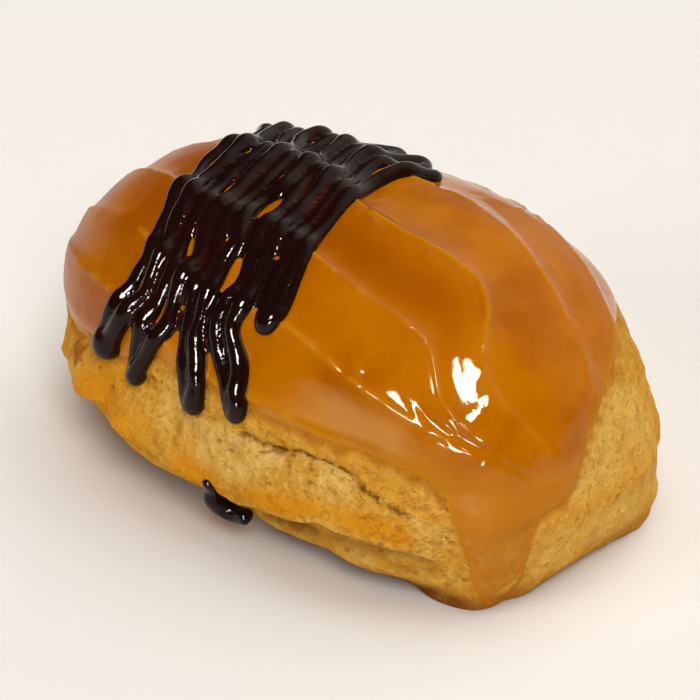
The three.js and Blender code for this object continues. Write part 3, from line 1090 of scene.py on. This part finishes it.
def smoothRoute(route, rise, spacing, window):
    # even steps over the skin, with the corners of the route averaged out
    path = bunForm(stationAt(route[:, 0]), route[:, 1], rise)
    count = int(lengthOf(np.diff(path, axis=0)).sum() / spacing)
    stops = evenStops(path, count)
    even = np.stack([takeAt(stops, column) for column in route.T], -1)
    return averaged(even, window)


def averaged(values, window):  # each column smoothed along the path, with its ends held
    kernel = np.hanning(window + 2)[1:-1]
    kernel /= kernel.sum()
    padded = np.pad(values, ((window // 2, window // 2), (0, 0)), "edge")
    return np.stack([np.convolve(column, kernel, "valid") for column in padded.T], -1)


def roundSection(sides, wide, tall):
    turn = np.linspace(0, 2 * np.pi, sides, endpoint=False)
    return np.stack([wide * np.cos(turn), tall * np.sin(turn)], -1)


def chocolateMaterial():
    look = {"dark": (27, 10, 7), "red": (74, 24, 4)}
    material, tree, shader = newMaterial("darkChocolate", Roughness=0.09, IOR=1.5, Specular_IOR_Level=0.18)
    paintLayers(tree, shader, look, "dark", [("film", 1.0, "red")])
    addBumps(tree, shader, (uneven(tree, 900, 2, 0.25, 0.75), 0.12, 0.0002))
    return material


darkChocolate = chocolateMaterial()


def strandField(places, path, radius):
    # soft minimum of the distances to a string of balls along the path: 0 on the skin of the strands melted
    # into one. Also its slope, and how far a place lies outside the nearest ball
    field = []
    for part in np.array_split(places, 1 + len(places) // 500):
        away = (part[:, None, :] - path[None]).astype(np.float32)
        distance = lengthOf(away)
        outside = distance - radius.astype(np.float32)
        nearest = outside.min(1)
        weight = np.exp(-chocolate["melt"] * (outside - nearest[:, None]))
        total = weight.sum(1)
        slope = ((weight / (distance * total[:, None]))[..., None] * away).sum(1)
        field.append(np.column_stack([nearest - np.log(total) / chocolate["melt"], slope, nearest]))
    field = np.concatenate(field).astype(float)
    return field[:, 0], field[:, 1:4], field[:, 4]


def makeZigzag():
    route = smoothRoute(zigzagRoute(), caramel["thickness"], chocolate["spacing"], 7)
    station, angle = stationAt(route[:, 0]), route[:, 1]
    covered = easeStep(aboveEdge(bunForm(station, angle)), -1, 5)
    lying = blendOf(0.3, caramel["thickness"], covered) + chocolate["rise"] + route[:, 2]
    path = averaged(bunForm(station, angle, lying), 3)
    outward = averaged(outwardAt(station, angle), 7)
    run = np.concatenate([[0], np.cumsum(lengthOf(np.diff(path, axis=0)))])
    radius = chocolate["radius"] * (1 + 0.18 * lumps(path, 3, 71))
    swell, *angles = chocolate["lowSwell"]
    radius *= 1 + swell * easeOff(angle, *angles)
    swell, reach, *angles = chocolate["crestSwell"]
    fromCrest = crestDistance(route[:, 0] / halfLength, angle)
    radius *= 1 + swell * hump(fromCrest, reach) * easeStep(angle, *angles)
    for (x, turnAngle), extra in zip(chocolate["turns"][1::2], chocolate["blobs"]):
        place = bunForm(stationAt(np.array(x)), np.array(turnAngle), chocolate["radius"])
        radius += extra * hump(lengthOf(path - place), chocolate["blobReach"])
    radius *= np.sqrt(np.clip(np.minimum(run, run[-1] - run) / chocolate["taper"], 0.05, 1))
    rings = tubeRings(path, outward, radius + chocolate["fat"], roundSection(16, 1.0, 1.0))
    mesh = ringMesh("zigzag", rings, path[0], path[-1])
    piece = addPiece("chocolateZigzag", mesh, darkChocolate, "caramel_glaze")
    remesh = piece.modifiers.new("fuse", "REMESH")
    remesh.mode = "VOXEL"
    remesh.voxel_size = chocolate["voxel"] * mm
    mesh = finishedMesh(piece)
    mesh.shade_smooth()
    places = vertexPlaces(mesh)
    for _ in range(2):
        field, slope, outside = strandField(places, path, radius - chocolate["settle"])
        steep = np.maximum((slope ** 2).sum(1), 0.15)
        places = places - np.clip(field / steep, -0.4, 0.4)[:, None] * slope
    groove = easeStep(outside, 0.15, 0.4)[:, None]
    even = np.stack([smoothedOver(mesh, column, 3) for column in places.T], -1)
    places = blendOf(places, even, groove)
    mesh.vertices.foreach_set("co", (places * mm).astype(np.float32).ravel())
    mesh.update()
    thin = smoothedOver(mesh, easeStep(outside, 0.1, 0.5), 5)
    addAttribute(mesh, "film", 1.4 * thin * easeStep(lumps(places, 4, 77), -0.3, 0.4))
    return piece


def makeDrip():
    # thin at the top, thickest where it turns under the lip, with its back stretched in to the crust
    route = smoothRoute(np.array(drip["route"], float), 1.0, 0.3, 9)
    run = np.linspace(0, 1, len(route))
    slim, fattest, reach = drip["belly"]
    radius = drip["radius"] * blendOf(slim, 1, hump(run - fattest, reach))
    radius *= np.sqrt(np.clip(np.minimum(run, 1 - run) / drip["taper"], 0.02, 1))
    station, angle, rise = stationAt(route[:, 0]), route[:, 1], route[:, 2]
    path = bunForm(station, angle, rise)
    section = roundSection(24, 1.0, 0.9)
    section[:, 1] *= np.where(section[:, 1] < 0, drip["backing"], 1)
    rings = tubeRings(path, outwardAt(station, angle), radius, section)
    mesh = ringMesh("drip", rings, path[0], path[-1])
    addAttribute(mesh, "film", np.zeros(len(mesh.vertices)))
    return addPiece("chocolateDrip", mesh, darkChocolate, "choux_bun")


makeZigzag()
makeDrip()
print("chocolate piped")


# Pale floor and soft studio light

studio = {
    "floor": paint(236, 231, 224),
    "floorSize": 24,
    "air": (1.0, 0.96, 0.87, 1),
    "dim": 0.015,
    "bright": 0.8,
    "brightFrom": (170, 25),
    "brightWithin": (0.5, 0.95),  # cosines of the angles where it begins and is full
    "distance": 5000,
    # azimuth, elevation, size in metres, power, and whether it shines: then it is only mirrored,
    # and the others only light up
    "lights": {
        "window": (27, 48, (1.5, 2.2), 1040, True),
        "lowWindow": (36, 9, (1, 0.9), 240, True),
        "key": (50, 42, (1.8, 1.8), 136, False),
        "ceiling": (150, 80, (6, 6), 180, False),
        "front": (-25, 20, (2, 2), 60, False),
    },
}


def addFloor():
    half = studio["floorSize"] / 2
    corners = [(-half, -half, 0), (half, -half, 0), (half, half, 0), (-half, half, 0)]
    mesh = bpy.data.meshes.new("floor")
    mesh.from_pydata(corners, [], [(0, 1, 2, 3)])
    look = {"Base_Color": studio["floor"], "Roughness": 1.0, "Specular_IOR_Level": 0.0}
    mesh.materials.append(newMaterial("paleFloor", **look)[0])
    placed("floor", mesh)


def addLight(name, azimuth, elevation, size, power, shines):
    data = bpy.data.lights.new(name, "AREA")
    data.shape = "RECTANGLE"
    data.size, data.size_y = size
    data.energy = power
    light = placed(name, data)
    lookFrom(light, azimuth, elevation, studio["distance"])
    light.visible_camera = False
    light.visible_glossy = shines
    light.visible_diffuse = not shines


def addWorld():
    # dim room that brightens towards the back
    world = bpy.data.worlds.new("studio")
    world.use_nodes = True
    tree = world.node_tree
    background = tree.nodes["Background"]
    feed(background.inputs["Color"], studio["air"])
    place = addNode(tree, "ShaderNodeTexCoord").outputs["Generated"]
    toBack = {0: place, 1: directionOf(*studio["brightFrom"])}
    facing = addNode(tree, "ShaderNodeVectorMath", toBack, operation="DOT_PRODUCT").outputs["Value"]
    low, high = studio["brightWithin"]
    levels = {"From Min": low, "From Max": high, "To Min": studio["dim"], "To Max": studio["bright"]}
    levels["Value"] = facing
    spread = addNode(tree, "ShaderNodeMapRange", levels, interpolation_type="SMOOTHSTEP").outputs["Result"]
    feed(background.inputs["Strength"], spread)
    bpy.context.scene.world = world


addFloor()
for lightName, light in studio["lights"].items():
    addLight(lightName, *light)
addWorld()
bpy.context.scene.view_settings.view_transform = "Standard"
print("studio lit")
